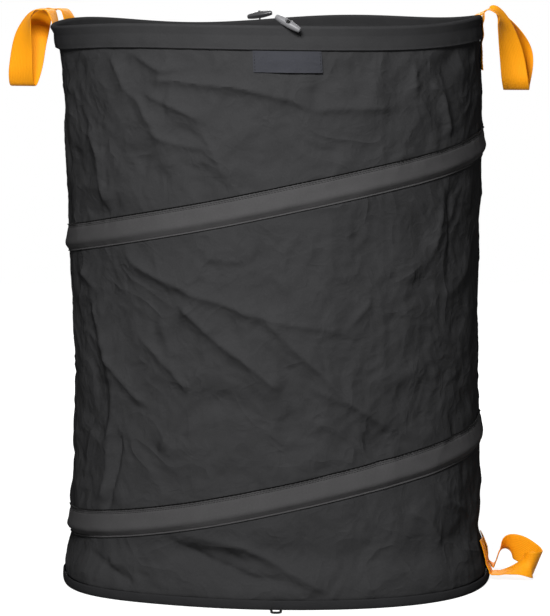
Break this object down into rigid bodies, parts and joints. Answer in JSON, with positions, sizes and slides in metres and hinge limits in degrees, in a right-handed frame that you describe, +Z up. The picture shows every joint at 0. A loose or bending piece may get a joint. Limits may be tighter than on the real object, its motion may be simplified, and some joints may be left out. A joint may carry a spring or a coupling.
{
  "type": "pop-up leaf bag",
  "caption": "Open-topped cloth garden bag held up by a coiled spring wire, with webbing handles, and toggles and elastic loops that hold it folded flat.",
  "frame": {"origin": "centre of the base's underside, on the floor", "axes": "+Z up along the bag's axis, -Y towards the labelled front, +X to the right as seen from the front"},
  "size_m": [0.7118, 0.6233, 0.7606],
  "materials": {
    "cloth_black": "coated plain weave, matt",
    "band_black": "coated plain weave, soft sheen",
    "webbing_orange": "woven webbing, satin",
    "label_grey": "woven, matt, bare",
    "cord_black": "braided cord",
    "plastic_grey": "moulded, satin",
    "plastic_black": "moulded, glossy",
    "spring_steel": "drawn wire"
  },
  "bodies": {
    "base": {"base_panel": "cloth_black", "base_sleeve": "band_black", "wall_panel": "cloth_black", "wall_seam": "band_black", "coil_spring": "spring_steel", "coil_end_cap_base": "plastic_black", "spiral_sleeve": "band_black", "bottom_tail_a": "webbing_orange", "bottom_tail_b": "webbing_orange"},
    "rim": {"rim_sleeve": "cloth_black", "coil_end_cap_top": "plastic_black", "label": "label_grey", "left_tail_a": "webbing_orange", "left_tail_b": "webbing_orange", "right_tail_a": "webbing_orange", "right_tail_b": "webbing_orange"},
    "left_handle": {"left_handle": "webbing_orange"},
    "right_handle": {"right_handle": "webbing_orange"},
    "bottom_handle": {"bottom_handle": "webbing_orange"},
    "front_toggle_cord": {"front_toggle_cord": "cord_black"},
    "front_toggle": {"front_toggle": "plastic_grey"},
    "rear_toggle_cord": {"rear_toggle_cord": "cord_black"},
    "rear_toggle": {"rear_toggle": "plastic_black"},
    "front_loop": {"front_loop": "cord_black"},
    "rear_loop": {"rear_loop": "cord_black"}
  },
  "joints": [
    {"name": "collapse", "type": "slide", "parent": "base", "child": "rim", "axis": [0, 0, -1], "range_m": [0, 0.615], "stiffness_N_per_m": 60, "springref_m": -0.15, "deforming": ["wall_panel", "wall_seam", "coil_spring", "spiral_sleeve"]},
    {"name": "left_handle_lift", "type": "hinge", "parent": "rim", "child": "left_handle", "pos_m": [-0.29513, 0.0809, 0.75041], "axis": [0.2756, 0.9613, 0], "range_deg": [0, 150]},
    {"name": "right_handle_lift", "type": "hinge", "parent": "rim", "child": "right_handle", "pos_m": [0.28536, 0.0261, 0.75732], "axis": [-0.0872, -0.9962, 0], "range_deg": [0, 125]},
    {"name": "bottom_handle_lift", "type": "hinge", "parent": "base", "child": "bottom_handle", "pos_m": [0.29419, -0.03612, 0.0075], "axis": [-0.1219, -0.9925, 0], "range_deg": [0, 60]},
    {"name": "front_toggle_swing", "type": "hinge", "parent": "rim", "child": "front_toggle_cord", "pos_m": [0.0138, -0.28042, 0.73313], "axis": [-0.9956, -0.0941, 0], "range_deg": [-40, 125]},
    {"name": "front_toggle_turn", "type": "hinge", "parent": "front_toggle_cord", "child": "front_toggle", "pos_m": [0.01472, -0.29009, 0.74018], "axis": [0.0761, -0.8054, 0.5878], "continuous": true},
    {"name": "rear_toggle_swing", "type": "hinge", "parent": "rim", "child": "rear_toggle_cord", "pos_m": [-0.02254, 0.2815, 0.72989], "axis": [-0.9994, -0.0349, 0], "range_deg": [-110, 50]},
    {"name": "rear_toggle_turn", "type": "hinge", "parent": "rear_toggle_cord", "child": "rear_toggle", "pos_m": [-0.02275, 0.2875, 0.74028], "axis": [-0.0174, 0.4997, 0.866], "continuous": true},
    {"name": "front_loop_lift", "type": "hinge", "parent": "base", "child": "front_loop", "pos_m": [0, -0.28814, 0.0018], "axis": [-1, 0, 0], "range_deg": [0, 90]},
    {"name": "rear_loop_lift", "type": "hinge", "parent": "base", "child": "rear_loop", "pos_m": [0, 0.2844, 0.0018], "axis": [1, 0, 0], "range_deg": [0, 90]}
  ]
}
